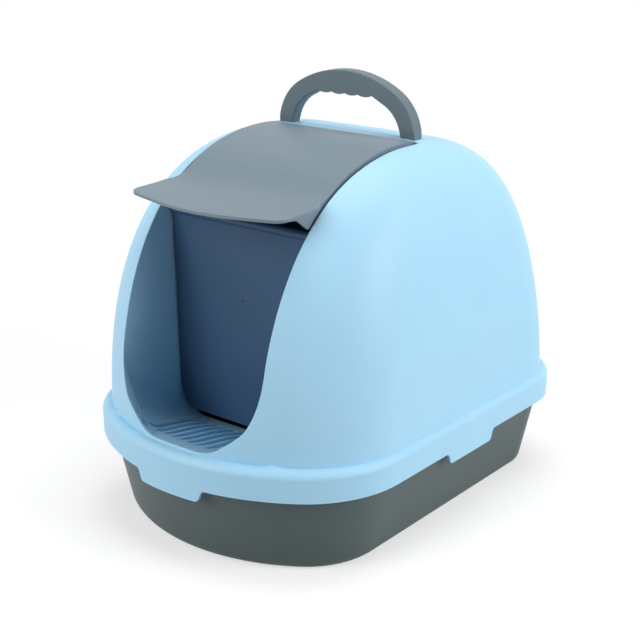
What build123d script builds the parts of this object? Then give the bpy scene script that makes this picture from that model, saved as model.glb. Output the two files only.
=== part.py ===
from build123d import *
import math
import os

os.makedirs("parts", exist_ok=True)

# Covered litter box: a tapered tray, a domed hood with a porch, a curved flip lid over the
# roof opening, a carry handle and a hanging swing door.
# Millimetres, +Z up, front towards -Y, origin on the floor under the middle of the rim.

# Rim of the hood, seen from above: bowed front, straight sides, nearly flat rear
rim_length = 500.0
rim_width = 375.0
front_bow = 241.0
front_corner = 117.0
rear_bow = 1123.0
rear_corner = 75.0
rim_bottom = 89.5
rim_top = 122.0
rim_wall = 3.0
rim_shoulder = 9.0

# Channel under the rim that takes the edge of the tray
inner_skirt_inset = 12.0
inner_skirt_wall = 2.2
inner_skirt_bottom = 106.0

# Finger tabs that hang from the rim, one on each side
tab_length = 97.0
tab_end_run = 13.0
tab_drop = 13.0
side_tab_shift = 27.0

# Tray
seat_gap = 0.3
tray_draft = 11.9
tray_wall = 2.5
tray_floor_radius = 13.0
tray_edge_inset = 5.0
tray_bead_inset = 3.9
tray_bead_height = 9.0

# Dome of the hood
hood_wall = 2.6
dome_base = 118.0
dome_top = 404.0
dome_levels = 11
dome_last_share = 0.9995
dome_front_inset = 12.8
dome_rear_inset = 7.7
dome_side_inset = 6.4
dome_side_draft = 5.5
front_fall = 2.28
front_roundness = 1.91
rear_fall = 1.62
rear_roundness = 2.68
side_fall = 2.56
side_roundness = 4.18
crown_front = -25.4
crown_rear = 45.5
crown_half = 60.0
crown_front_bow = 391.0
crown_front_corner = 77.0
crown_rear_corner = 41.0

# Opening that runs from the sill, over the front of the dome, to the handle
opening_half_low = 94.0
opening_half_top = 101.0
opening_rear = 38.0
opening_flange = 20.0
roof_cut_low = 300.0

# Porch floor: a ramp from the sill to a bend, then a crowned slope down to the door
sill_corner = 40.0
sill_slope = 0.25
porch_bend = -214.0
porch_bend_z = 119.0
porch_slope = 0.15
porch_crown = 0.00068
porch_corner = 26.0
porch_end = -118.0

# Non-slip grooves along the porch floor
groove_pitch = 11.66
groove_count = 11
groove_width = 7.4
groove_depth = 2.8
groove_front = -219.0
groove_rear = -127.0

# Flip lid: a sheet that follows the roof line a little proud of it, then a lip
lid_thickness = 3.0
lid_gap = 3.7
lid_rear = 33.0
lid_proud = 1.5
lid_rear_drop = -0.4
lid_first_share = 0.885
lid_last_share = 0.985
lid_side_wall = 2.5
lid_side_depth = 13.0
lip_overhang = 5.7
lip_reach = -183.0
lip_drop = 40.6
lip_knee = -134.0
lip_knee_drop = 35.5
lip_bow = 6.0
lip_corner = 14.0
lip_flare = 18.0
gusset_reach = 17.0
gusset_foot_share = 0.795
side_first_share = 0.87
side_last_share = 0.975

# Ledge in the opening that the sides of the lid rest on
ledge_width = 6.5
ledge_thickness = 2.5
ledge_gap = 0.3
ledge_rear = 16.0

# Lid hinge
lid_axis_y = 24.0
lid_axis_z = 395.0
lid_pin_radius = 3.5
lid_ear_radius = 6.5
lid_ear_depth = 5.5

# Swing door
door_y = -130.0
door_axis_z = 334.0
door_thickness = 2.4
door_bottom = 110.5
door_corner = 28.0
door_gap = 2.2
door_pin_radius = 3.0
door_barrel_radius = 4.5

# Running fit of every hinge pin in its hole, and how far a pin stands past its wall
pin_clearance = 0.08
pin_overrun = 1.2

# Carry handle: an arch with finger scallops under its grip
handle_y = 42.0
handle_depth = 13.0
handle_top = 469.5
handle_crown = 110.0
handle_shoulder = 63.6
handle_spring_z = 395.0
handle_edge = 1.6
grip_depth = 25.0
leg_inner_half = 74.5
leg_inner_radius = 40.0
leg_inner_turn = 60.0
scallop_pitch = 18.0
scallop_depth = 1.8
scallop_count = 4

# Seat of the handle: a pocket in the roof with a slot for the barbed peg of each foot
seat_z = 400.5
seat_plate = 3.0
seat_margin = 3.0
seat_clearance = 0.2
peg_width = 13.0
peg_depth = 8.0
peg_length = 11.0
barb_height = 5.0
barb_reach = 1.2
barb_gap = 0.3

half_length = rim_length / 2
half_width = rim_width / 2
tray_height = rim_top - rim_wall - seat_gap
tab_bottom = rim_bottom - tab_drop
lid_half = opening_half_top - lid_gap
lip_half = lid_half + lip_overhang
grip_z = handle_top - grip_depth


def end_arcs(reach, sign, half, bow, corner):
    """Points of one end of an outline: middle, join with the corner, corner middle, side."""
    run = half - corner
    drop = math.sqrt((bow - corner) ** 2 - run**2)
    centre_y = reach - sign * (bow - drop)
    turn = math.atan2(run, drop)
    bisect = (turn + math.pi / 2) / 2
    join = (bow * math.sin(turn), reach - sign * bow * (1 - math.cos(turn)))
    corner_mid = (run + corner * math.sin(bisect), centre_y + sign * corner * math.cos(bisect))
    return (0, reach), join, corner_mid, (half, centre_y)


def plan_outline(front, rear, half, bow_front, corner_front, bow_rear, corner_rear):
    """Fill the outline seen from above, symmetric about the middle plane."""
    nose, front_join, front_mid, front_side = end_arcs(front, -1, half, bow_front, corner_front)
    tail, rear_join, rear_mid, rear_side = end_arcs(rear, 1, half, bow_rear, corner_rear)
    front_left = (-front_join[0], front_join[1])
    rear_left = (-rear_join[0], rear_join[1])
    with BuildLine() as outline:
        ThreePointArc(front_left, nose, front_join)
        ThreePointArc(front_join, front_mid, front_side)
        Line(front_side, rear_side)
        ThreePointArc(rear_side, rear_mid, rear_join)
        ThreePointArc(rear_join, tail, rear_left)
        ThreePointArc(rear_left, (-rear_mid[0], rear_mid[1]), (-rear_side[0], rear_side[1]))
        Line((-rear_side[0], rear_side[1]), (-front_side[0], front_side[1]))
        ThreePointArc((-front_side[0], front_side[1]), (-front_mid[0], front_mid[1]), front_left)
    make_face(outline.edges())


def rim_outline(inset):
    """Fill the rim's outline, drawn in by inset."""
    plan_outline(
        -half_length + inset,
        half_length - inset,
        half_width - inset,
        front_bow - inset,
        front_corner - inset,
        rear_bow - inset,
        rear_corner - inset,
    )


def keep(share, fall, roundness):
    """Part of the base size that is left at this share of the dome's height."""
    return (1 - share**fall) ** (1 / roundness)


def dome_level(share, inset=0.0):
    """Height and outline sizes of the dome at a share of its height, drawn in by inset."""
    z = dome_base + share * (dome_top - inset - dome_base)
    base_front = -half_length + dome_front_inset + inset
    base_rear = half_length - dome_rear_inset - inset
    base_half = half_width - dome_side_inset - inset
    front = crown_front + (base_front - crown_front) * keep(share, front_fall, front_roundness)
    rear = crown_rear + (base_rear - crown_rear) * keep(share, rear_fall, rear_roundness)
    side = base_half - dome_side_draft * share - crown_half
    half = crown_half + side * keep(share, side_fall, side_roundness)
    blend = share**3
    bow = front_bow + (crown_front_bow - front_bow) * blend
    corner_front = front_corner + (crown_front_corner - front_corner) * blend
    corner_rear = rear_corner + (crown_rear_corner - rear_corner) * blend
    limit = min(0.9 * half, 0.45 * (rear - front))
    return z, (front, rear, half, bow, min(corner_front, limit), rear_bow, min(corner_rear, limit))


def dome_solid(inset):
    """The dome as a closed solid, drawn in by inset."""
    with BuildPart() as dome:
        for level in range(dome_levels + 1):
            share = min(math.sin(math.pi / 2 * level / dome_levels), dome_last_share)
            z, sizes = dome_level(share, inset)
            with BuildSketch(Plane.XY.offset(z)):
                plan_outline(*sizes)
        loft()
    return dome.part


def roof_point(share, inset):
    """Point (y, z) of the dome's front slope where the side of the lid runs."""
    z, (front, _, half, bow, corner, _, _) = dome_level(share, inset)
    run = half - corner
    drop = math.sqrt((bow - corner) ** 2 - run**2)
    turn = math.atan2(run, drop)
    if lid_half <= bow * math.sin(turn):
        return front + bow - math.sqrt(bow**2 - lid_half**2), z
    return front + bow - drop - math.sqrt(corner**2 - (lid_half - run) ** 2), z


def roof_line(inset, first_share, last_share, count=4):
    """Points of the slope under the side of the lid, from front to rear."""
    step = (last_share - first_share) / (count - 1)
    return [roof_point(first_share + step * i, inset) for i in range(count)]


def opening_half(z):
    """Half width of the opening at a height."""
    share = (z - rim_top) / (dome_top - rim_top)
    return opening_half_low + (opening_half_top - opening_half_low) * share


def floor_height(y):
    """Height of the porch floor."""
    run = y - porch_bend
    if run < 0:
        return porch_bend_z - sill_slope * run
    return porch_bend_z - porch_slope * run - porch_crown * run**2


def opening_outline(low, corner, grow=0.0):
    """Fill the opening's outline seen from the front, from a floor up past the roof."""
    top = dome_top + rim_shoulder
    low_half = opening_half(low) + grow
    top_half = opening_half(top) + grow
    with BuildLine() as outline:
        Polyline((-top_half, top), (-low_half, low), (low_half, low), (top_half, top), close=True)
    make_face(outline.edges())
    if corner:
        fillet(vertices().group_by(Axis.Y)[0], corner + grow)


def porch_block(grow):
    """The porch as a block, grown by a wall."""
    front = -half_length - rim_shoulder
    bend_share = (porch_bend - porch_end) / (front - porch_end)
    with BuildPart() as block:
        for share in (1.0, (1.0 + bend_share) / 2, bend_share, bend_share * 2 / 3, bend_share / 3, 0.0):
            y = porch_end + (front - porch_end) * share
            corner = min(porch_corner + (sill_corner - porch_corner) * share / bend_share, sill_corner)
            with BuildSketch(Plane.XZ.offset(-y)):
                opening_outline(floor_height(y) - grow, corner, grow)
        loft()
    return block.part


def roof_block(grow):
    """The block over the roof opening, from the porch to the handle."""
    with BuildPart() as block:
        with BuildSketch(Plane.XZ.offset(-porch_end)):
            opening_outline(roof_cut_low, 0, grow)
        extrude(amount=-(opening_rear + grow - porch_end))
    return block.part


def lid_curve(drop):
    """Points of the lid's section, lowered by drop: lip, knee, roof line and rear edge."""
    slope = roof_line(drop - lid_proud, lid_first_share, lid_last_share)
    tip = (lip_reach, dome_top - lip_drop - drop)
    knee = (lip_knee, dome_top - lip_knee_drop - drop)
    return [tip, knee] + slope + [(lid_rear, dome_top - lid_rear_drop - drop)]


def cross_bar(y, z, radius, half):
    """A round bar across the hood, centred on the middle plane."""
    with BuildPart() as bar:
        with BuildSketch(Plane.YZ):
            with Locations((y, z)):
                Circle(radius)
        extrude(amount=half, both=True)
    return bar.part


# Base tray
tray_slope = math.tan(math.radians(tray_draft))
tray_floor_inset = tray_edge_inset + tray_height * tray_slope
with BuildPart() as tray_space:
    with BuildSketch(Plane.XY.offset(tray_wall)):
        rim_outline(tray_floor_inset + tray_wall * (1 - tray_slope))
    extrude(amount=tray_height, taper=-tray_draft)
    fillet(tray_space.edges().group_by(Axis.Z)[0], tray_floor_radius - tray_wall)
with BuildPart() as base_tray:
    with BuildSketch():
        rim_outline(tray_floor_inset)
    extrude(amount=tray_height, taper=-tray_draft)
    fillet(base_tray.edges().group_by(Axis.Z)[0], tray_floor_radius)
    with BuildSketch(Plane.XY.offset(tray_height - tray_bead_height)):
        rim_outline(tray_bead_inset)
    extrude(amount=tray_bead_height)
    add(tray_space.part, mode=Mode.SUBTRACT)
base_tray.part.label = "base_tray"
export_step(base_tray.part, "parts/base_tray.step")

# Rim of the hood: outer skirt with its tabs, shoulder and inner skirt
with BuildPart() as tabs:
    for plane, shift in ((Plane.XZ, 0.0), (Plane.YZ, side_tab_shift)):
        with BuildSketch(plane):
            with BuildLine():
                top_right = (shift + tab_length / 2, rim_bottom)
                top_left = (shift - tab_length / 2, rim_bottom)
                low_right = (shift + tab_length / 2 - tab_end_run, tab_bottom)
                low_left = (shift - tab_length / 2 + tab_end_run, tab_bottom)
                Polyline(top_right, (top_right[0], rim_top), (top_left[0], rim_top), top_left)
                Spline(top_left, low_left, tangents=((1, 0), (1, 0)))
                Line(low_left, low_right)
                Spline(low_right, top_right, tangents=((1, 0), (1, 0)))
            make_face()
        extrude(amount=rim_length, both=True)
    with BuildSketch(Plane.XY.offset(tab_bottom)):
        rim_outline(0)
    extrude(amount=rim_bottom + rim_wall - tab_bottom, mode=Mode.INTERSECT)
with BuildPart() as rim:
    with BuildSketch(Plane.XY.offset(rim_bottom)):
        rim_outline(0)
    extrude(amount=rim_top - rim_bottom)
    fillet(rim.edges().group_by(Axis.Z)[-1], rim_shoulder)
    add(tabs.part)
    with BuildSketch(Plane.XY.offset(tab_bottom)):
        rim_outline(rim_wall)
    extrude(amount=inner_skirt_bottom - tab_bottom, mode=Mode.SUBTRACT)
    with BuildSketch(Plane.XY.offset(inner_skirt_bottom)):
        rim_outline(inner_skirt_inset + inner_skirt_wall)
    extrude(amount=rim_top - inner_skirt_bottom, mode=Mode.SUBTRACT)
with BuildPart() as channel:
    with BuildSketch(Plane.XY.offset(inner_skirt_bottom)):
        rim_outline(rim_wall)
        with BuildSketch(mode=Mode.PRIVATE) as skirt_face:
            rim_outline(inner_skirt_inset)
        add(skirt_face.sketch, mode=Mode.SUBTRACT)
    extrude(amount=tray_height + seat_gap - inner_skirt_bottom)

# Walls and floor of the porch, and the flange round the roof opening, trimmed to the dome
dome_outside = dome_solid(0)
with BuildPart() as dome_reach:
    add(dome_outside)
    with BuildSketch(Plane.XY.offset(tab_bottom)):
        plan_outline(*dome_level(0)[1])
    extrude(amount=dome_base - tab_bottom)
with BuildPart() as porch:
    add(porch_block(hood_wall))
    add(dome_reach.part, mode=Mode.INTERSECT)
with BuildPart() as flange:
    add(roof_block(hood_wall))
    add(dome_outside, mode=Mode.INTERSECT)
    add(dome_solid(opening_flange), mode=Mode.SUBTRACT)

# Ledge on each side of the opening, under the side of the lid
ledge_inset = lid_side_depth + ledge_gap
ledge_end = (lid_axis_y - ledge_rear, lid_axis_z - lid_ear_radius - ledge_gap)
ledge_line = roof_line(ledge_inset, side_first_share, side_last_share) + [ledge_end]
with BuildPart() as ledge:
    with BuildSketch(Plane.YZ.offset(opening_half(ledge_end[1]) - ledge_width)):
        with BuildLine():
            upper = Spline(*ledge_line)
            lower = Spline(*[(y, z - ledge_thickness) for y, z in ledge_line])
            Line(upper @ 0, lower @ 0)
            Line(upper @ 1, lower @ 1)
        make_face()
    extrude(amount=ledge_width + hood_wall / 2)
    mirror(about=Plane.YZ)

# Grooves of the porch floor, and the thicker bed under them
groove_run = groove_rear - groove_front
groove_line = []
for run_share, depth_share in ((0, -0.2), (0.12, 0.6), (0.3, 1), (0.75, 1), (0.92, 0.7), (1, -0.2)):
    y = groove_front + groove_run * run_share
    groove_line.append((y, floor_height(y) - groove_depth * depth_share))
with BuildPart() as groove:
    with BuildSketch(Plane.YZ):
        with BuildLine():
            bottom = Spline(*groove_line)
            front_top = (groove_front, floor_height(groove_front) + 4 * groove_depth)
            rear_top = (groove_rear, floor_height(groove_rear) + 4 * groove_depth)
            Polyline(bottom @ 0, front_top, rear_top, bottom @ 1)
        make_face()
    extrude(amount=groove_width / 2, both=True)
with BuildPart() as groove_bed:
    with BuildSketch(Plane.YZ):
        with BuildLine():
            rise = groove_depth - hood_wall / 2
            upper = Spline(*[(y, z + rise) for y, z in groove_line[1:-1]])
            lower = Spline(*[(y, z - hood_wall) for y, z in groove_line[1:-1]])
            Line(upper @ 0, lower @ 0)
            Line(upper @ 1, lower @ 1)
        make_face()
    extrude(amount=groove_pitch * groove_count / 2, both=True)

# Handle outline values that the seat shares
handle_crown_z = handle_top - handle_crown
shoulder_reach = handle_crown - handle_shoulder
shoulder_x = math.sqrt(shoulder_reach**2 - (handle_spring_z - handle_crown_z) ** 2)
foot_outer = shoulder_x + math.sqrt(handle_shoulder**2 - (seat_z - handle_spring_z) ** 2)
foot_x = (foot_outer + leg_inner_half) / 2
foot_width = foot_outer - leg_inner_half
foot_y = handle_y + handle_depth / 2

# Hood
with BuildPart() as hood:
    add(dome_outside)
    add(dome_solid(hood_wall), mode=Mode.SUBTRACT)
    add(rim.part)
    add(flange.part)
    add(porch.part)
    add(groove_bed.part)
    add(porch_block(0), mode=Mode.SUBTRACT)
    add(roof_block(0), mode=Mode.SUBTRACT)
    with GridLocations(groove_pitch, 1, groove_count, 1):
        add(groove.part, mode=Mode.SUBTRACT)
    add(channel.part, mode=Mode.SUBTRACT)
    add(ledge.part)
    with Locations((-foot_x, foot_y, seat_z), (foot_x, foot_y, seat_z)):
        seat_size = (foot_width + 2 * seat_margin, handle_depth + 2 * seat_margin)
        Box(*seat_size, 2 * seat_plate)
        pocket_size = (foot_width + 2 * seat_clearance, handle_depth + 2 * seat_clearance)
        pocket_align = (Align.CENTER, Align.CENTER, Align.MIN)
        Box(*pocket_size, 2 * seat_plate, align=pocket_align, mode=Mode.SUBTRACT)
        slot_size = (peg_width + 2 * seat_clearance, peg_depth + 2 * seat_clearance)
        Box(*slot_size, 4 * seat_plate, mode=Mode.SUBTRACT)
    lid_pin_half = opening_half(lid_axis_z) + hood_wall + pin_overrun
    lid_bore = cross_bar(lid_axis_y, lid_axis_z, lid_pin_radius + pin_clearance, lid_pin_half)
    add(lid_bore, mode=Mode.SUBTRACT)
    door_pin_half = opening_half(door_axis_z) + hood_wall + pin_overrun
    door_bore = cross_bar(door_y, door_axis_z, door_pin_radius + pin_clearance, door_pin_half)
    add(door_bore, mode=Mode.SUBTRACT)
hood.part.label = "hood"
export_step(hood.part, "parts/hood.step")

# Flip lid
lid_top = lid_curve(0)
lid_under = lid_curve(lid_thickness)
with BuildPart() as lid_sheet:
    with BuildSketch(Plane.YZ):
        with BuildLine():
            Spline(*lid_top)
            Spline(*lid_under)
            Line(lid_top[0], lid_under[0])
            Line(lid_top[-1], lid_under[-1])
        make_face()
    extrude(amount=lip_half, both=True)
    with BuildSketch(Plane.XY.offset(dome_top - 2 * lip_drop)):
        flare_start = lip_knee + lip_flare
        lip_side = lip_reach + lip_bow
        with BuildLine():
            Line((-lid_half, lid_rear), (lid_half, lid_rear))
            side = Line((lid_half, lid_rear), (lid_half, flare_start))
            flare = Spline(side @ 1, (lip_half, lip_knee), tangents=((0, -1), (0, -1)))
            edge = Line(flare @ 1, (lip_half, lip_side))
            mirror([side, flare, edge], about=Plane.YZ)
            ThreePointArc((-lip_half, lip_side), (0, lip_reach), (lip_half, lip_side))
        make_face()
        fillet(vertices().group_by(Axis.Y)[0], lip_corner)
    extrude(amount=4 * lip_drop, mode=Mode.INTERSECT)
side_top = lid_curve(lid_thickness / 2)
gusset_share = gusset_reach / (lip_knee - lip_reach)
gusset_top = side_top[0][1] + (side_top[1][1] - side_top[0][1]) * gusset_share
side_top[0] = (lip_reach + gusset_reach, gusset_top)
side_foot = roof_point(gusset_foot_share, 0)
side_low = [side_foot] + roof_line(lid_side_depth, side_first_share, side_last_share)
side_low.append((lid_axis_y, lid_axis_z - lid_ear_radius))
with BuildPart() as flip_lid:
    with BuildSketch(Plane.YZ.offset(lid_half)):
        with BuildLine():
            Spline(*side_top)
            rear_foot = (side_top[-1][0] - lid_side_wall, lid_axis_z)
            Polyline(side_top[-1], rear_foot, side_low[-1])
            Spline(*side_low)
            Line(side_foot, side_top[0])
        make_face()
    extrude(amount=-lid_side_wall)
    with BuildSketch(Plane.YZ.offset(lid_half)):
        with Locations((lid_axis_y, lid_axis_z)):
            Circle(lid_ear_radius)
    extrude(amount=-lid_ear_depth)
    with BuildSketch(Plane.YZ.offset(lid_half - lid_side_wall)):
        with Locations((lid_axis_y, lid_axis_z)):
            Circle(lid_pin_radius)
    extrude(amount=lid_pin_half - lid_half + lid_side_wall)
    mirror(about=Plane.YZ)
    add(lid_sheet.part)
flip_lid.part.label = "flip_lid"
export_step(flip_lid.part, "parts/flip_lid.step")

# Swing door
with BuildPart() as swing_door:
    with BuildSketch(Plane.XZ.offset(-door_y - door_thickness / 2)):
        with BuildLine():
            top_half = opening_half(door_axis_z) - door_gap
            low_half = opening_half(door_bottom) - door_gap
            Polyline(
                (-top_half, door_axis_z),
                (-low_half, door_bottom),
                (low_half, door_bottom),
                (top_half, door_axis_z),
                close=True,
            )
        make_face()
        fillet(vertices().group_by(Axis.Y)[0], door_corner)
    extrude(amount=door_thickness)
    add(cross_bar(door_y, door_axis_z, door_barrel_radius, top_half))
    add(cross_bar(door_y, door_axis_z, door_pin_radius, door_pin_half))
swing_door.part.label = "swing_door"
export_step(swing_door.part, "parts/swing_door.step")

# Carry handle
crown_share = handle_crown / shoulder_reach
crown_join = (shoulder_x * crown_share, handle_crown_z + (handle_spring_z - handle_crown_z) * crown_share)
foot_turn = math.degrees(math.asin((seat_z - handle_spring_z) / handle_shoulder))
join_turn = math.degrees(math.atan2(handle_spring_z - handle_crown_z, shoulder_x))
peg_low = seat_z - peg_length
barb_top = seat_z - seat_plate - barb_gap
with BuildPart() as carry_handle:
    with BuildSketch(Plane.XZ.offset(-handle_y)):
        with BuildLine():
            centre = (shoulder_x, handle_spring_z)
            outer = CenterArc(centre, handle_shoulder, foot_turn, join_turn - foot_turn)
            inner_centre = (leg_inner_half - leg_inner_radius, seat_z)
            inner = CenterArc(inner_centre, leg_inner_radius, 0, leg_inner_turn)
            slope = Line(inner @ 1, (scallop_pitch * scallop_count / 2, grip_z))
            foot = Line(outer @ 0, inner @ 0)
            mirror([outer, inner, slope, foot], about=Plane.YZ)
            ThreePointArc(outer @ 1, (0, handle_top), (-crown_join[0], crown_join[1]))
            for step in range(scallop_count):
                start = scallop_pitch * (step - scallop_count / 2)
                SagittaArc((start, grip_z), (start + scallop_pitch, grip_z), -scallop_depth)
        make_face()
    extrude(amount=-handle_depth)
    arcs = carry_handle.edges().filter_by(GeomType.CIRCLE)
    fillet(arcs.filter_by(lambda arc: arc.radius > scallop_pitch * 2), handle_edge)
    with BuildSketch(Plane.XZ.offset(-foot_y + peg_depth / 2)):
        for side_x in (-foot_x, foot_x):
            with BuildLine():
                Polyline(
                    (side_x - peg_width / 2, seat_z + 1),
                    (side_x - peg_width / 2, barb_top),
                    (side_x - peg_width / 2 - barb_reach, barb_top),
                    (side_x - peg_width / 2, barb_top - barb_height),
                    (side_x - peg_width / 2, peg_low),
                    (side_x + peg_width / 2, peg_low),
                    (side_x + peg_width / 2, barb_top - barb_height),
                    (side_x + peg_width / 2 + barb_reach, barb_top),
                    (side_x + peg_width / 2, barb_top),
                    (side_x + peg_width / 2, seat_z + 1),
                    close=True,
                )
            make_face()
    extrude(amount=-peg_depth)
carry_handle.part.label = "carry_handle"
export_step(carry_handle.part, "parts/carry_handle.step")
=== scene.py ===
"""A covered litter box for a cat.

A grey tub, a pale blue domed hood, a grey flip lid, an arch handle and a hanging door.
"""

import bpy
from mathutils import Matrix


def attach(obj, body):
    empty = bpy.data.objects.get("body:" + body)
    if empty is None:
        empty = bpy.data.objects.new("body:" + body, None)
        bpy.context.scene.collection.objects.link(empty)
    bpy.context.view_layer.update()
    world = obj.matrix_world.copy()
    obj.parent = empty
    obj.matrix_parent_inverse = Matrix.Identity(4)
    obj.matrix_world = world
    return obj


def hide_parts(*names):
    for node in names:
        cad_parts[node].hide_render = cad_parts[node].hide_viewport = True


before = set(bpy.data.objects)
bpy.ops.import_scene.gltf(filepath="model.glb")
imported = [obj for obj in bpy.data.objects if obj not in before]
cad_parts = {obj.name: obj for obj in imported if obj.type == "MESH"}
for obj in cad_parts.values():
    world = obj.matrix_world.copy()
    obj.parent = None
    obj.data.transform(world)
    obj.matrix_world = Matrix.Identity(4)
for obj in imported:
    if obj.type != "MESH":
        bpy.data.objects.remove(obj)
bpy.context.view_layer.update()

import logging
import math
from collections.abc import Iterable
from dataclasses import dataclass
from enum import Enum

import bmesh
import bpy
from mathutils import Vector

LOG = logging.getLogger("litter_box")
MM = 0.001
# The lid's section counts its depth in tenths of a metre.
DEPTH_UNIT = 100


def linear(hex_colour: str) -> tuple[float, float, float, float]:
    """Turns an sRGB hex value into the linear colour that a shader socket takes.

    Args:
        hex_colour: Six hex digits with a leading hash.

    Returns:
        Red, green, blue and an alpha of 1.
    """
    channels = [int(hex_colour[i : i + 2], 16) / 255 for i in (1, 3, 5)]
    bent = [c / 12.92 if c <= 0.04045 else ((c + 0.055) / 1.055) ** 2.4 for c in channels]
    return (bent[0], bent[1], bent[2], 1.0)


def add_node(
    tree: bpy.types.NodeTree,
    kind: str,
    settings: dict | None = None,
    inputs: dict | None = None,
) -> bpy.types.Node:
    """Adds one node with its settings, socket values and links.

    Args:
        tree: The node tree that gets the node.
        kind: The node's Blender type name.
        settings: Properties of the node itself.
        inputs: Socket name or number to a value, or to the output socket that feeds it.

    Returns:
        The new node.
    """
    node = tree.nodes.new(kind)
    for key, value in (settings or {}).items():
        setattr(node, key, value)
    for key, value in (inputs or {}).items():
        if isinstance(value, bpy.types.NodeSocket):
            tree.links.new(value, node.inputs[key])
        else:
            node.inputs[key].default_value = value
    return node


class Texture(Enum):
    """How the mould's wall was finished, which the plastic copies."""

    SPARK_ERODED = "spark eroded"
    POLISHED = "polished"


@dataclass(frozen=True)
class MouldedPlastic:
    """An injection moulded polypropylene or styrene finish."""

    name: str
    colour: str
    tint: str
    roughness: float
    texture: Texture
    # Coarser than the real grain of a mould wall, so that it shows in the render.
    grain_mm: float = 1.1
    grain_height_mm: float = 0.012
    cloud_mm: float = 90.0
    ior: float = 1.49
    specular_level: float = 0.5
    cloud_detail: float = 2.0
    grain_detail: float = 3.0
    sheen_spread: float = 0.06
    eroded_bump: float = 1.0
    polished_bump: float = 0.25

    def material(self) -> bpy.types.Material:
        """Makes the material.

        Returns:
            A material that reads Object coordinates only.
        """
        made = bpy.data.materials.new(self.name)
        made.use_nodes = True
        tree = made.node_tree
        tree.nodes.clear()
        place = add_node(tree, "ShaderNodeTexCoord").outputs["Object"]
        cloud = add_node(
            tree,
            "ShaderNodeTexNoise",
            inputs={
                "Vector": place,
                "Scale": 1 / (self.cloud_mm * MM),
                "Detail": self.cloud_detail,
            },
        )
        colour = add_node(tree, "ShaderNodeMix", {"data_type": "RGBA"})
        colour.inputs[6].default_value = linear(self.colour)
        colour.inputs[7].default_value = linear(self.tint)
        tree.links.new(cloud.outputs["Fac"], colour.inputs[0])
        grain = add_node(
            tree,
            "ShaderNodeTexNoise",
            inputs={
                "Vector": place,
                "Scale": 1 / (self.grain_mm * MM),
                "Detail": self.grain_detail,
            },
        )
        low = self.roughness * (1 - self.sheen_spread)
        high = min(1.0, self.roughness * (1 + self.sheen_spread))
        eroded = self.texture is Texture.SPARK_ERODED
        sheen = add_node(
            tree,
            "ShaderNodeMapRange",
            inputs={"Value": grain.outputs["Fac"], "To Min": low, "To Max": high},
        )
        bump = add_node(
            tree,
            "ShaderNodeBump",
            inputs={
                "Strength": self.eroded_bump if eroded else self.polished_bump,
                "Distance": self.grain_height_mm * MM,
                "Height": grain.outputs["Fac"],
            },
        )
        surface = add_node(
            tree,
            "ShaderNodeBsdfPrincipled",
            inputs={
                "Base Color": colour.outputs[2],
                "Roughness": sheen.outputs["Result"],
                "IOR": self.ior,
                "Specular IOR Level": self.specular_level,
                "Normal": bump.outputs["Normal"],
            },
        )
        add_node(
            tree, "ShaderNodeOutputMaterial", inputs={"Surface": surface.outputs["BSDF"]}
        )
        return made


# Polypropylene from a spark eroded mould: a soft even pale blue with a broad satin gloss.
BLUE_PP = MouldedPlastic(
    "blue_polypropylene", "#A8D8F3", "#AEDCF6", 0.45, Texture.SPARK_ERODED,
    specular_level=0.3,
)
# The same plastic in grey with a green cast: the tub's matt walls.
TUB_PP = MouldedPlastic(
    "grey_green_polypropylene", "#4B585A", "#505D5E", 0.5, Texture.SPARK_ERODED,
    specular_level=0.35,
)
# A lighter blue grey for the flip lid.
LID_PP = MouldedPlastic(
    "blue_grey_polypropylene", "#748590", "#788994", 0.5, Texture.SPARK_ERODED,
    specular_level=0.35,
)
# The handle is moulded in the lid's plastic. This darker blue grey is painted shade for its upright
# faces, which the light reaches less than the lid's top.
SHADED_LID_PP = MouldedPlastic(
    "lid_grey_with_painted_shade", "#5F7179", "#63757D", 0.45, Texture.SPARK_ERODED,
    specular_level=0.35,
)
# Styrene from a polished mould, smoky blue: the door hides the dark inside. The blue is also
# painted darker than the door's own tone. That extra darkness is painted shade for the porch, which
# the front lamp would otherwise light.
SHADED_DOOR_PS = MouldedPlastic(
    "smoky_blue_polystyrene_with_painted_shade", "#34506E", "#375371", 0.45, Texture.POLISHED,
    ior=1.59, specular_level=0.2,
)


@dataclass
class MouldedPiece:
    """One moulding that keeps its CAD shape, with its walls merged and shaded smooth."""

    node: str
    body: str
    slot: str
    finish: MouldedPlastic
    crease_deg: float = 32.0
    merge_mm: float = 0.004

    def mesh(self) -> bpy.types.Object:
        """Makes the piece from a merged copy of its CAD node.

        Returns:
            The piece's object, at the origin.
        """
        form = bmesh.new()
        form.from_mesh(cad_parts[self.node].data)
        bmesh.ops.remove_doubles(form, verts=form.verts, dist=self.merge_mm * MM)
        bmesh.ops.dissolve_degenerate(form, edges=form.edges, dist=self.merge_mm * MM)
        self.detail(form)
        crease = math.radians(self.crease_deg)
        for face in form.faces:
            face.smooth = True
        for edge in form.edges:
            edge.smooth = edge.calc_face_angle(math.pi) < crease
        data = bpy.data.meshes.new(f"{self.node}_form")
        form.to_mesh(data)
        form.free()
        piece = bpy.data.objects.new(f"{self.node}_piece", data)
        bpy.context.scene.collection.objects.link(piece)
        weights = piece.modifiers.new("flat walls first", "WEIGHTED_NORMAL")
        weights.keep_sharp = True
        return piece

    def detail(self, form: bmesh.types.BMesh) -> None:
        """Adds the moulding's own small forms. A plain piece has none."""

    def dress(self, piece: bpy.types.Object) -> None:
        """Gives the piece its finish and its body."""
        piece.data.materials.clear()
        piece.data.materials.append(self.finish.material())
        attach(piece, self.body)
        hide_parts(self.node)

    def build(self) -> bpy.types.Object:
        """Builds and dresses the piece.

        Returns:
            The finished object.
        """
        piece = self.mesh()
        self.dress(piece)
        LOG.info("%s: %d faces on body %s", piece.name, len(piece.data.polygons), self.body)
        return piece


def in_order(parts: Iterable) -> list:
    """Drops repeats and keeps the order, which a set of mesh parts changes from run to run."""
    return list(dict.fromkeys(parts))


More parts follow.
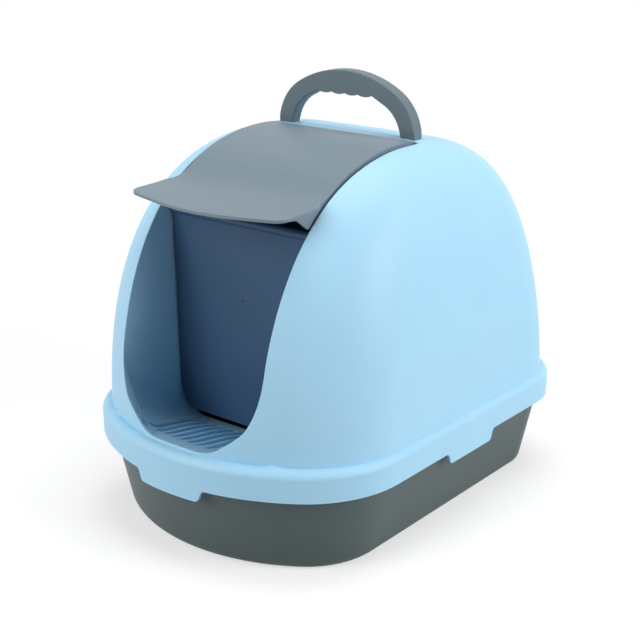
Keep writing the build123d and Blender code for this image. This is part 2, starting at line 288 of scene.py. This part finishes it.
def cut_in_steps(
    form: bmesh.types.BMesh, faces: list, axis: int, low: float, high: float, step: float
) -> list:
    """Cuts faces by parallel planes, so that a later move of their points stays smooth.

    Args:
        form: The mesh.
        faces: The faces to cut.
        axis: 0, 1 or 2 for planes across X, Y or Z.
        low: Where the planes start, in mm.
        high: Where they end, in mm.
        step: Their distance, in mm.

    Returns:
        The faces that the cuts leave there.
    """
    for cut in range(1, int((high - low) / step)):
        place, normal = [0.0, 0.0, 0.0], [0.0, 0.0, 0.0]
        place[axis] = (low + cut * step) * MM
        normal[axis] = 1.0
        edges = in_order(edge for face in faces for edge in face.edges)
        verts = in_order(vert for face in faces for vert in face.verts)
        cuts = bmesh.ops.bisect_plane(
            form,
            geom=verts + edges + list(faces),
            dist=1e-7,
            plane_co=place,
            plane_no=normal,
        )
        faces = [part for part in cuts["geom"] if isinstance(part, bmesh.types.BMFace)]
    return faces


def ease(value: float) -> float:
    """Runs smoothly from 0 to 1 while the value goes from 0 to 1."""
    held = min(max(value, 0.0), 1.0)
    return held * held * (3 - 2 * held)


@dataclass(frozen=True)
class LipSection:
    """Height of the lid's sheet along its front part, in mm: a settling curve and a drooping tip.

    Depth is counted in tenths of a metre forward from the line where the front part starts.
    """

    level: float
    rise: float
    settle: float
    droop: float
    droop_power: float

    def height(self, depth: float) -> float:
        """Gives the height at a depth."""
        tip = max(depth, 0.0) ** self.droop_power
        return self.level + self.rise * math.exp(-depth / self.settle) - self.droop * tip


@dataclass
class FlipLid(MouldedPiece):
    """The flip lid, whose lip reaches further forward in a bow, as on the photographed one."""

    lip_start: float = -100.0
    blend_start: float = -60.0
    tip: float = -183.0
    tip_bow: float = 6.0
    reach_more: float = 19.5
    bow_more: float = 15.0
    half: float = 103.0
    corner: float = 14.0
    corner_drawn: float = 8.0
    corner_blend: float = 30.0
    skirt_depth: float = 11.0
    skirt_blend: float = 7.0
    roof_level: float = 405.0
    roof_fall: float = 0.00185
    roof_top: float = 15.0
    cut_step: float = 5.0
    tip_share: float = 0.6
    plain: LipSection = LipSection(368.1, 10.4, 0.118, 15.5, 6.4)
    drawn: LipSection = LipSection(363.75, 12.85, 0.17, 2.36, 6.2)

    def detail(self, form: bmesh.types.BMesh) -> None:
        """Draws the front part of the sheet forward and down."""
        faces = cut_in_steps(form, form.faces[:], 0, -self.half, self.half, self.cut_step)
        cut_in_steps(form, faces, 1, self.tip, self.blend_start, self.cut_step)
        bmesh.ops.triangulate(form, faces=[face for face in form.faces if len(face.verts) > 4])
        for vert in form.verts:
            self.draw_forward(vert)

    def draw_forward(self, vert: bmesh.types.BMVert) -> None:
        """Moves one point of the front part to the drawn section."""
        x, y, z = (value / MM for value in vert.co)
        if y > self.blend_start:
            return
        blend = ease((self.blend_start - y) / (self.blend_start - self.lip_start))
        across = (x / self.half) ** 2
        edge = self.tip + self.tip_bow * across
        share = min(max((self.lip_start - y) / (self.lip_start - edge), 0.0), 1.0)
        top = self.roof_level - self.roof_fall * (y - self.roof_top) ** 2
        if y < self.lip_start:
            top = self.plain.height((self.lip_start - y) / DEPTH_UNIT)
        sheet = ease((z - top + self.skirt_depth) / self.skirt_blend)
        forward = share * (self.reach_more - self.bow_more * across) * sheet
        now = max((self.lip_start - y) / DEPTH_UNIT, 0.0)
        then = max((self.lip_start - y + forward) / DEPTH_UNIT, 0.0)
        sink = self.drawn.height(then) - self.plain.height(now)
        tighter = self.corner - self.corner_drawn
        inner = self.half - self.corner
        over = (abs(x) - inner) / self.corner
        near_tip = ease((share - self.tip_share) / (1 - self.tip_share)) * sheet
        if over > 0:
            out = tighter * (1 - over)
            forward += near_tip * tighter * (1 - math.sqrt(max(1 - over * over, 0.0)))
        else:
            out = tighter * ease(1 + over * self.corner / self.corner_blend)
        vert.co.x += math.copysign(out * near_tip, x) * MM
        vert.co.y -= forward * MM
        vert.co.z += sink * blend * sheet * MM


@dataclass(frozen=True)
class Arch:
    """An arch's outer line in its own plane, in mm: a crown arc between two shoulder arcs."""

    crown: float
    shoulder: float
    spring_z: float
    top: float = 469.5

    def reach(self, turn: float, foot_z: float) -> float:
        """Gives the distance from the middle of the feet to the outer line.

        Args:
            turn: Direction in radians, 0 to the side and a quarter turn straight up.
            foot_z: Height of the feet.

        Returns:
            The distance in mm.
        """
        side, up = abs(math.cos(turn)), math.sin(turn)
        crown_z = self.top - self.crown
        join = self.crown - self.shoulder
        shoulder_x = math.sqrt(join**2 - (self.spring_z - crown_z) ** 2)
        stretch = self.crown / join
        join_x, join_z = shoulder_x * stretch, crown_z + (self.spring_z - crown_z) * stretch
        x, z, radius = 0.0, crown_z, self.crown
        if up * join_x < (join_z - foot_z) * side:
            x, z, radius = shoulder_x, self.spring_z, self.shoulder
        rise = z - foot_z
        along = x * side + rise * up
        return along + math.sqrt(radius**2 - x**2 - rise**2 + along**2)


@dataclass
class CarryHandle(MouldedPiece):
    """The arch handle, with the fuller shoulders and deeper section of the photographed one."""

    foot_z: float = 400.5
    plain: Arch = Arch(110.0, 63.6, 395.0)
    fuller: Arch = Arch(128.6, 57.6, 402.0)
    inner_share: float = 0.82
    front: float = 42.0
    depth: float = 13.0
    depth_drawn: float = 15.5
    depth_blend: float = 12.0

    def detail(self, form: bmesh.types.BMesh) -> None:
        """Moves the outer line out to the fuller arch and deepens the section above the roof."""
        middle = self.front + self.depth / 2
        for vert in form.verts:
            x, y, z = (value / MM for value in vert.co)
            if z < self.foot_z:
                continue
            turn = math.atan2(z - self.foot_z, x)
            plain = self.plain.reach(turn, self.foot_z)
            fuller = self.fuller.reach(turn, self.foot_z)
            radius = math.hypot(x, z - self.foot_z)
            share = ease((radius / plain - self.inner_share) / (1 - self.inner_share))
            grow = 1 + share * (fuller - plain) / max(radius, 1.0)
            deep = ease((z - self.foot_z) / self.depth_blend)
            widen = 1 + (self.depth_drawn / self.depth - 1) * deep
            vert.co.x = x * grow * MM
            vert.co.z = (self.foot_z + (z - self.foot_z) * grow) * MM
            vert.co.y = (middle + (y - middle) * widen) * MM


@dataclass
class SwingDoor(MouldedPiece):
    """The hanging door panel with rounded rims and the mark of its gate."""

    front: float = -131.2
    gate_height: float = 251.0
    gate_radius: float = 2.0
    gate_stand: float = 1.2
    edge_round: float = 1.1
    rim_angle_deg: float = 60.0
    rim_below: float = 330.0

    def detail(self, form: bmesh.types.BMesh) -> None:
        """Rounds the panel's rims and adds the gate mark."""
        rims = [
            edge
            for edge in form.edges
            if edge.calc_face_angle(0.0) > math.radians(self.rim_angle_deg)
            and max(vert.co.z for vert in edge.verts) < self.rim_below * MM
            and edge.is_convex
        ]
        bmesh.ops.bevel(
            form,
            geom=rims,
            offset=self.edge_round * MM,
            segments=2,
            profile=0.5,
            affect="EDGES",
            clamp_overlap=True,
            material=-1,
        )
        mark = bmesh.ops.create_uvsphere(
            form, u_segments=20, v_segments=10, radius=self.gate_radius * MM
        )
        flat = self.gate_stand / self.gate_radius
        bmesh.ops.scale(form, verts=mark["verts"], vec=(1.0, flat, 1.0))
        bmesh.ops.translate(
            form, verts=mark["verts"], vec=(0.0, self.front * MM, self.gate_height * MM)
        )


@dataclass
class Hood(MouldedPiece):
    """The hood, whose opening sweeps down to the sill in long rounded corners."""

    rim_top: float = 122.0
    dome_top: float = 404.0
    half_low: float = 94.0
    half_top: float = 101.0
    bend: float = -214.0
    bend_z: float = 119.0
    sill_slope: float = 0.25
    floor_slope: float = 0.15
    floor_crown: float = 0.00068
    corner_front: float = 40.0
    corner_rear: float = 26.0
    porch_end: float = -118.0
    sweep_run: float = 65.0
    sweep_rise: float = 118.0
    # Depth, and how far the long corner has opened there.
    sweep_at: tuple = (
        (-230.0, 1.0),
        (-214.0, 0.72),
        (-200.0, 0.32),
        (-180.0, 0.04),
        (-150.0, 0.0),
    )
    fade: float = 45.0
    edge_round: float = 1.3
    edge_rear: float = 38.5
    edge_merge: float = 0.9
    edge_merge_low: float = 126.0
    cut_front: float = -240.0
    cut_top: float = 250.0
    cut_step: float = 6.0
    groove_half: float = 63.0
    groove_rear: float = -125.0
    groove_deeper: float = 1.3
    groove_front_run: float = 6.0
    groove_least: float = 0.15
    groove_most: float = 3.5
    shift_below: float = 300.0
    rim_touch: float = 0.03
    outer_before: float = -150.0
    outer_least_front: float = 0.3
    outer_most_inward: float = -0.2
    outer_most_up: float = 0.8
    porch_under: float = 8.0
    porch_over: float = 30.0
    edge_centre: float = 150.0
    edge_angle_deg: float = 40.0
    edge_above: float = 0.2
    edge_beside: float = 0.6
    # Depth, height and a radius just over the bore, for the door's hinge and the lid's.
    hinge_bores: tuple = ((-130.0, 334.0, 3.5), (24.0, 395.0, 4.0))

    def half(self, z: float) -> float:
        """Half width of the opening at a height."""
        share = (z - self.rim_top) / (self.dome_top - self.rim_top)
        return self.half_low + (self.half_top - self.half_low) * share

    def floor(self, y: float) -> float:
        """Height of the porch floor."""
        run = y - self.bend
        if run < 0:
            return self.bend_z - self.sill_slope * run
        return self.bend_z - self.floor_slope * run - self.floor_crown * run**2

    def corner(self, y: float) -> float:
        """Radius of the plain corner between wall and floor."""
        share = (y - self.porch_end) / (self.bend - self.porch_end)
        grown = self.corner_rear + (self.corner_front - self.corner_rear) * share
        return min(max(grown, self.corner_rear), self.corner_front)

    def sweep(self, y: float) -> tuple[float, float]:
        """Run and rise of the long corner at a depth into the porch."""
        opened = 1.0 if y < self.sweep_at[0][0] else 0.0
        for (near, full), (far, less) in zip(self.sweep_at, self.sweep_at[1:]):
            if near <= y < far:
                opened = full + (less - full) * ease((y - near) / (far - near))
        plain = self.corner(y)
        run = self.corner_rear + (self.sweep_run - self.corner_rear) * opened
        rise = self.corner_rear + (self.sweep_rise - self.corner_rear) * opened
        return max(run, plain), max(rise, plain)

    def shift(self, x: float, y: float, z: float) -> tuple[float, float]:
        """Gives the move of a point of the porch or its surroundings, across and up.

        Args:
            x: Distance from the middle plane, in mm.
            y: Depth, in mm.
            z: Height, in mm.

        Returns:
            The move in x, away from the middle plane, and in z.
        """
        run, rise = self.sweep(y)
        half, low, plain = self.half(z), self.floor(y), self.corner(y)
        side, drop = x - (half - run), low + rise - z
        if side <= 0 or drop <= 0 or (run == plain and rise == plain):
            return 0.0, 0.0
        reach = math.hypot(side, drop)
        across, down = side / reach, drop / reach
        old = min(run / across, rise / down)
        corner_x, corner_drop = run - plain, rise - plain
        if old * across > corner_x and old * down > corner_drop:
            along = corner_x * across + corner_drop * down
            off = corner_x**2 + corner_drop**2
            old = along + math.sqrt(max(along**2 - off + plain**2, 0.0))
        new = 1 / math.hypot(across / run, down / rise)
        if reach <= old:
            change = reach * (new / old - 1)
        else:
            change = (new - old) * (1 - ease((reach - old) / self.fade))
        return change * across, -change * down

    def detail(self, form: bmesh.types.BMesh) -> None:
        """Reshapes the lower corners of the opening, then rounds the opening's edge."""
        porch = [face for face in form.faces if self.near_porch(face)]
        porch = cut_in_steps(form, porch, 2, self.rim_top, self.cut_top, self.cut_step)
        cut_in_steps(form, porch, 1, self.cut_front, self.sweep_at[-1][0], self.cut_step)
        bmesh.ops.triangulate(form, faces=[face for face in form.faces if len(face.verts) > 4])
        form.normal_update()
        moves = {}
        for vert in form.verts:
            step = self.corner_step(vert)
            self.deepen_groove(vert)
            if step is not None:
                moves[vert] = step
        for vert, step in moves.items():
            vert.co += step
        self.merge_short_edges(form)
        self.round_opening(form)
        LOG.info("opening: %d points moved", len(moves))

    def deepen_groove(self, vert: bmesh.types.BMVert) -> None:
        """Lowers a point that lies in one of the porch floor's grooves."""
        x, y, z = (value / MM for value in vert.co)
        if abs(x) < self.groove_half and self.bend - self.groove_front_run < y < self.groove_rear:
            drop = self.floor(y) - z
            if self.groove_least < drop < self.groove_most:
                vert.co.z -= drop * (self.groove_deeper - 1) * MM

    def corner_step(self, vert: bmesh.types.BMVert) -> Vector | None:
        """Works out how a point moves when the lower corners are swept in.

        Args:
            vert: A point of the hood, before any move.

        Returns:
            Its move in metres, or nothing where it stays.
        """
        x, y, z = (value / MM for value in vert.co)
        under_rim = z < self.rim_top + self.rim_touch and y < self.bend
        if y > self.porch_end or under_rim or z > self.shift_below:
            return None
        across, up = self.shift(abs(x), y, z)
        if not across and not up:
            return None
        sign = 1.0 if x > 0 else -1.0
        step = Vector((sign * across, 0.0, up)) * MM
        # A point of the dome's outer face slides along that face and doesn't leave it.
        outer = [
            face.normal
            for face in vert.link_faces
            if face.normal.y < -self.outer_least_front
            and face.normal.x * sign > self.outer_most_inward
            and face.normal.z < self.outer_most_up
            and y < self.outer_before
        ]
        if outer:
            normal = sum(outer, Vector()).normalized()
            step.y = -(normal.x * step.x + normal.z * step.z) / normal.y
        return step

    def merge_short_edges(self, form: bmesh.types.BMesh) -> None:
        """Merges points on very short edges at the opening's edge, so that it rounds evenly.

        Args:
            form: The hood's mesh, after its corners have moved.
        """
        form.normal_update()
        rim = [edge for edge in form.edges if self.on_opening_edge(edge)]
        low = self.edge_merge_low * MM
        ends = in_order(vert for edge in rim for vert in edge.verts if vert.co.z > low)
        # The round bores of the hinges keep their points, whose edges are short too.
        near = in_order(
            other
            for vert in ends
            for edge in vert.link_edges
            if edge.calc_length() < self.edge_merge * MM
            for other in edge.verts
        )
        bmesh.ops.remove_doubles(form, verts=near, dist=self.edge_merge * MM)

    def round_opening(self, form: bmesh.types.BMesh) -> None:
        """Rounds the opening's outer edge.

        Args:
            form: The hood's mesh, with its short edges merged.
        """
        form.normal_update()
        bmesh.ops.bevel(
            form,
            geom=[edge for edge in form.edges if self.on_opening_edge(edge)],
            offset=self.edge_round * MM,
            segments=2,
            profile=0.5,
            affect="EDGES",
            clamp_overlap=False,
            material=-1,
        )
        form.normal_update()

    def near_porch(self, face: bmesh.types.BMFace) -> bool:
        """Tells whether a face lies in the part of the porch that the long corners reshape."""
        low = (self.rim_top - self.porch_under) * MM
        high = (self.cut_top + self.porch_over) * MM
        return all(
            abs(vert.co.x) < (self.half_top + self.fade) * MM
            and vert.co.y < self.porch_end * MM
            and low < vert.co.z < high
            for vert in face.verts
        )

    def on_opening_edge(self, edge: bmesh.types.BMEdge) -> bool:
        """Tells whether an edge is part of the opening's outer edge."""
        middle = (edge.verts[0].co + edge.verts[1].co) / 2 / MM
        if not edge.is_convex or edge.calc_face_angle(0.0) < math.radians(self.edge_angle_deg):
            return False
        if middle.z < self.rim_top + self.edge_above or middle.y > self.edge_rear:
            return False
        if abs(middle.x) > self.half_top + self.edge_beside:
            return False
        for bore_y, bore_z, radius in self.hinge_bores:
            if math.hypot(middle.y - bore_y, middle.z - bore_z) < radius:
                return False
        out = middle - Vector((0.0, 0.0, self.edge_centre))
        return any(face.normal.dot(out) > 0 for face in edge.link_faces)


@dataclass
class Studio:
    """Floor, soft light and the camera at the photograph's angle."""

    azimuth_deg: float = 38.76
    elevation_deg: float = 18.82
    distance: float = 1.4734
    target_height: float = 0.1947
    target_offset: float = -0.0009
    focal_px: float = 1308.8
    frame_px: float = 640.0
    sensor_mm: float = 36.0
    floor_half: float = 6.0
    fade_start: float = 0.4
    fade_end: float = 0.9
    ambient: float = 0.03
    paper_glow: float = 0.55
    paper_roughness: float = 0.9

    def camera(self) -> None:
        """Makes the scene's camera."""
        azimuth, elevation = math.radians(self.azimuth_deg), math.radians(self.elevation_deg)
        side = Vector((math.cos(azimuth), math.sin(azimuth), 0)) * self.target_offset
        target = side + Vector((0, 0, self.target_height))
        back = Vector(
            (
                math.sin(azimuth) * math.cos(elevation),
                -math.cos(azimuth) * math.cos(elevation),
                math.sin(elevation),
            )
        )
        data = bpy.data.cameras.new("camera")
        data.sensor_width = self.sensor_mm
        data.lens = self.focal_px / self.frame_px * self.sensor_mm
        holder = bpy.data.objects.new("camera", data)
        bpy.context.scene.collection.objects.link(holder)
        holder.location = target + back * self.distance
        holder.rotation_mode = "QUATERNION"
        holder.rotation_quaternion = (-back).to_track_quat("-Z", "Y")
        bpy.context.scene.camera = holder

    def lamp(self, name: str, place: tuple[float, float, float], size: float, power: float) -> None:
        """Adds one soft square lamp that faces the object.

        Args:
            name: The lamp's name.
            place: Where it hangs, in metres.
            size: Its side, in metres.
            power: Its power in watts.
        """
        data = bpy.data.lights.new(name, "AREA")
        data.shape = "SQUARE"
        data.size = size
        data.energy = power
        holder = bpy.data.objects.new(name, data)
        bpy.context.scene.collection.objects.link(holder)
        holder.location = place
        away = Vector(place) - Vector((0, 0, self.target_height))
        holder.rotation_mode = "QUATERNION"
        holder.rotation_quaternion = (-away).to_track_quat("-Z", "Y")

    def seen_directly(self, tree: bpy.types.NodeTree) -> bpy.types.NodeSocket:
        """Tells the rays of the eye, of reflections and of glass from the rays that carry light.

        Args:
            tree: The node tree that asks.

        Returns:
            A socket that is 1 for a camera, glossy or transmission ray and 0 for the others.
        """
        path = add_node(tree, "ShaderNodeLightPath")
        mirrored = add_node(
            tree,
            "ShaderNodeMath",
            {"operation": "MAXIMUM"},
            {0: path.outputs["Is Glossy Ray"], 1: path.outputs["Is Transmission Ray"]},
        )
        seen = add_node(
            tree,
            "ShaderNodeMath",
            {"operation": "MAXIMUM"},
            {0: path.outputs["Is Camera Ray"], 1: mirrored.outputs[0]},
        )
        return seen.outputs[0]

    def world(self) -> None:
        """Lights the scene evenly, with a white background for the eye and for reflections."""
        world = bpy.data.worlds.new("studio")
        bpy.context.scene.world = world
        world.use_nodes = True
        tree = world.node_tree
        tree.nodes.clear()
        seen = self.seen_directly(tree)
        strength = add_node(
            tree,
            "ShaderNodeMapRange",
            inputs={"Value": seen, "To Min": self.ambient, "To Max": 1.0},
        )
        sky = add_node(
            tree,
            "ShaderNodeBackground",
            inputs={"Color": linear("#FFFFFF"), "Strength": strength.outputs["Result"]},
        )
        add_node(tree, "ShaderNodeOutputWorld", inputs={"Surface": sky.outputs[0]})

    def floor(self) -> None:
        """Lays pale grey paper that fades to the white background away from the object."""
        form = bmesh.new()
        bmesh.ops.create_grid(form, x_segments=1, y_segments=1, size=self.floor_half)
        data = bpy.data.meshes.new("floor")
        form.to_mesh(data)
        form.free()
        floor = bpy.data.objects.new("floor", data)
        bpy.context.scene.collection.objects.link(floor)
        made = bpy.data.materials.new("white_paper_sweep")
        made.use_nodes = True
        tree = made.node_tree
        tree.nodes.clear()
        place = add_node(tree, "ShaderNodeTexCoord").outputs["Object"]
        reach = add_node(tree, "ShaderNodeVectorMath", {"operation": "LENGTH"}, {0: place})
        fade = add_node(
            tree,
            "ShaderNodeMapRange",
            {"interpolation_type": "SMOOTHSTEP"},
            {
                "Value": reach.outputs["Value"],
                "From Min": self.fade_start,
                "From Max": self.fade_end,
            },
        )
        paper = add_node(
            tree,
            "ShaderNodeBsdfPrincipled",
            inputs={"Base Color": linear("#BEBEBE"), "Roughness": self.paper_roughness},
        )
        glow = add_node(
            tree,
            "ShaderNodeEmission",
            inputs={"Color": linear("#FFFFFF"), "Strength": self.paper_glow},
        )
        lit = add_node(
            tree, "ShaderNodeAddShader", inputs={0: paper.outputs[0], 1: glow.outputs[0]}
        )
        white = add_node(
            tree, "ShaderNodeEmission", inputs={"Color": linear("#FFFFFF"), "Strength": 1.0}
        )
        faded = add_node(
            tree,
            "ShaderNodeMixShader",
            inputs={0: fade.outputs["Result"], 1: lit.outputs[0], 2: white.outputs[0]},
        )
        seen = add_node(
            tree,
            "ShaderNodeMixShader",
            inputs={0: self.seen_directly(tree), 1: paper.outputs[0], 2: faded.outputs[0]},
        )
        add_node(tree, "ShaderNodeOutputMaterial", inputs={"Surface": seen.outputs[0]})
        floor.data.materials.append(made)

    def build(self) -> None:
        """Sets the whole studio up."""
        self.camera()
        self.world()
        self.floor()
        self.lamp("right softbox", (2.2, 0.5, 1.0), 1.3, 40.0)
        self.lamp("front softbox", (-0.9, -2.2, 1.15), 1.5, 39.0)
        self.lamp("top softbox", (0.0, 0.3, 2.5), 1.8, 38.0)
        bpy.context.scene.view_settings.view_transform = "Standard"
        LOG.info("studio: camera at %s", [round(v, 3) for v in bpy.context.scene.camera.location])


def main() -> None:
    logging.basicConfig(level=logging.INFO)
    Studio().build()
    for piece in (
        MouldedPiece("base_tray", "tray", "tray_grey", TUB_PP),
        Hood("hood", "hood", "hood_blue", BLUE_PP),
        FlipLid("flip_lid", "lid", "lid_grey", LID_PP),
        CarryHandle("carry_handle", "hood", "handle_grey", SHADED_LID_PP),
        SwingDoor("swing_door", "door", "door_smoke", SHADED_DOOR_PS),
    ):
        piece.build()
    bpy.context.view_layer.update()


if __name__ == "__main__":
    main()
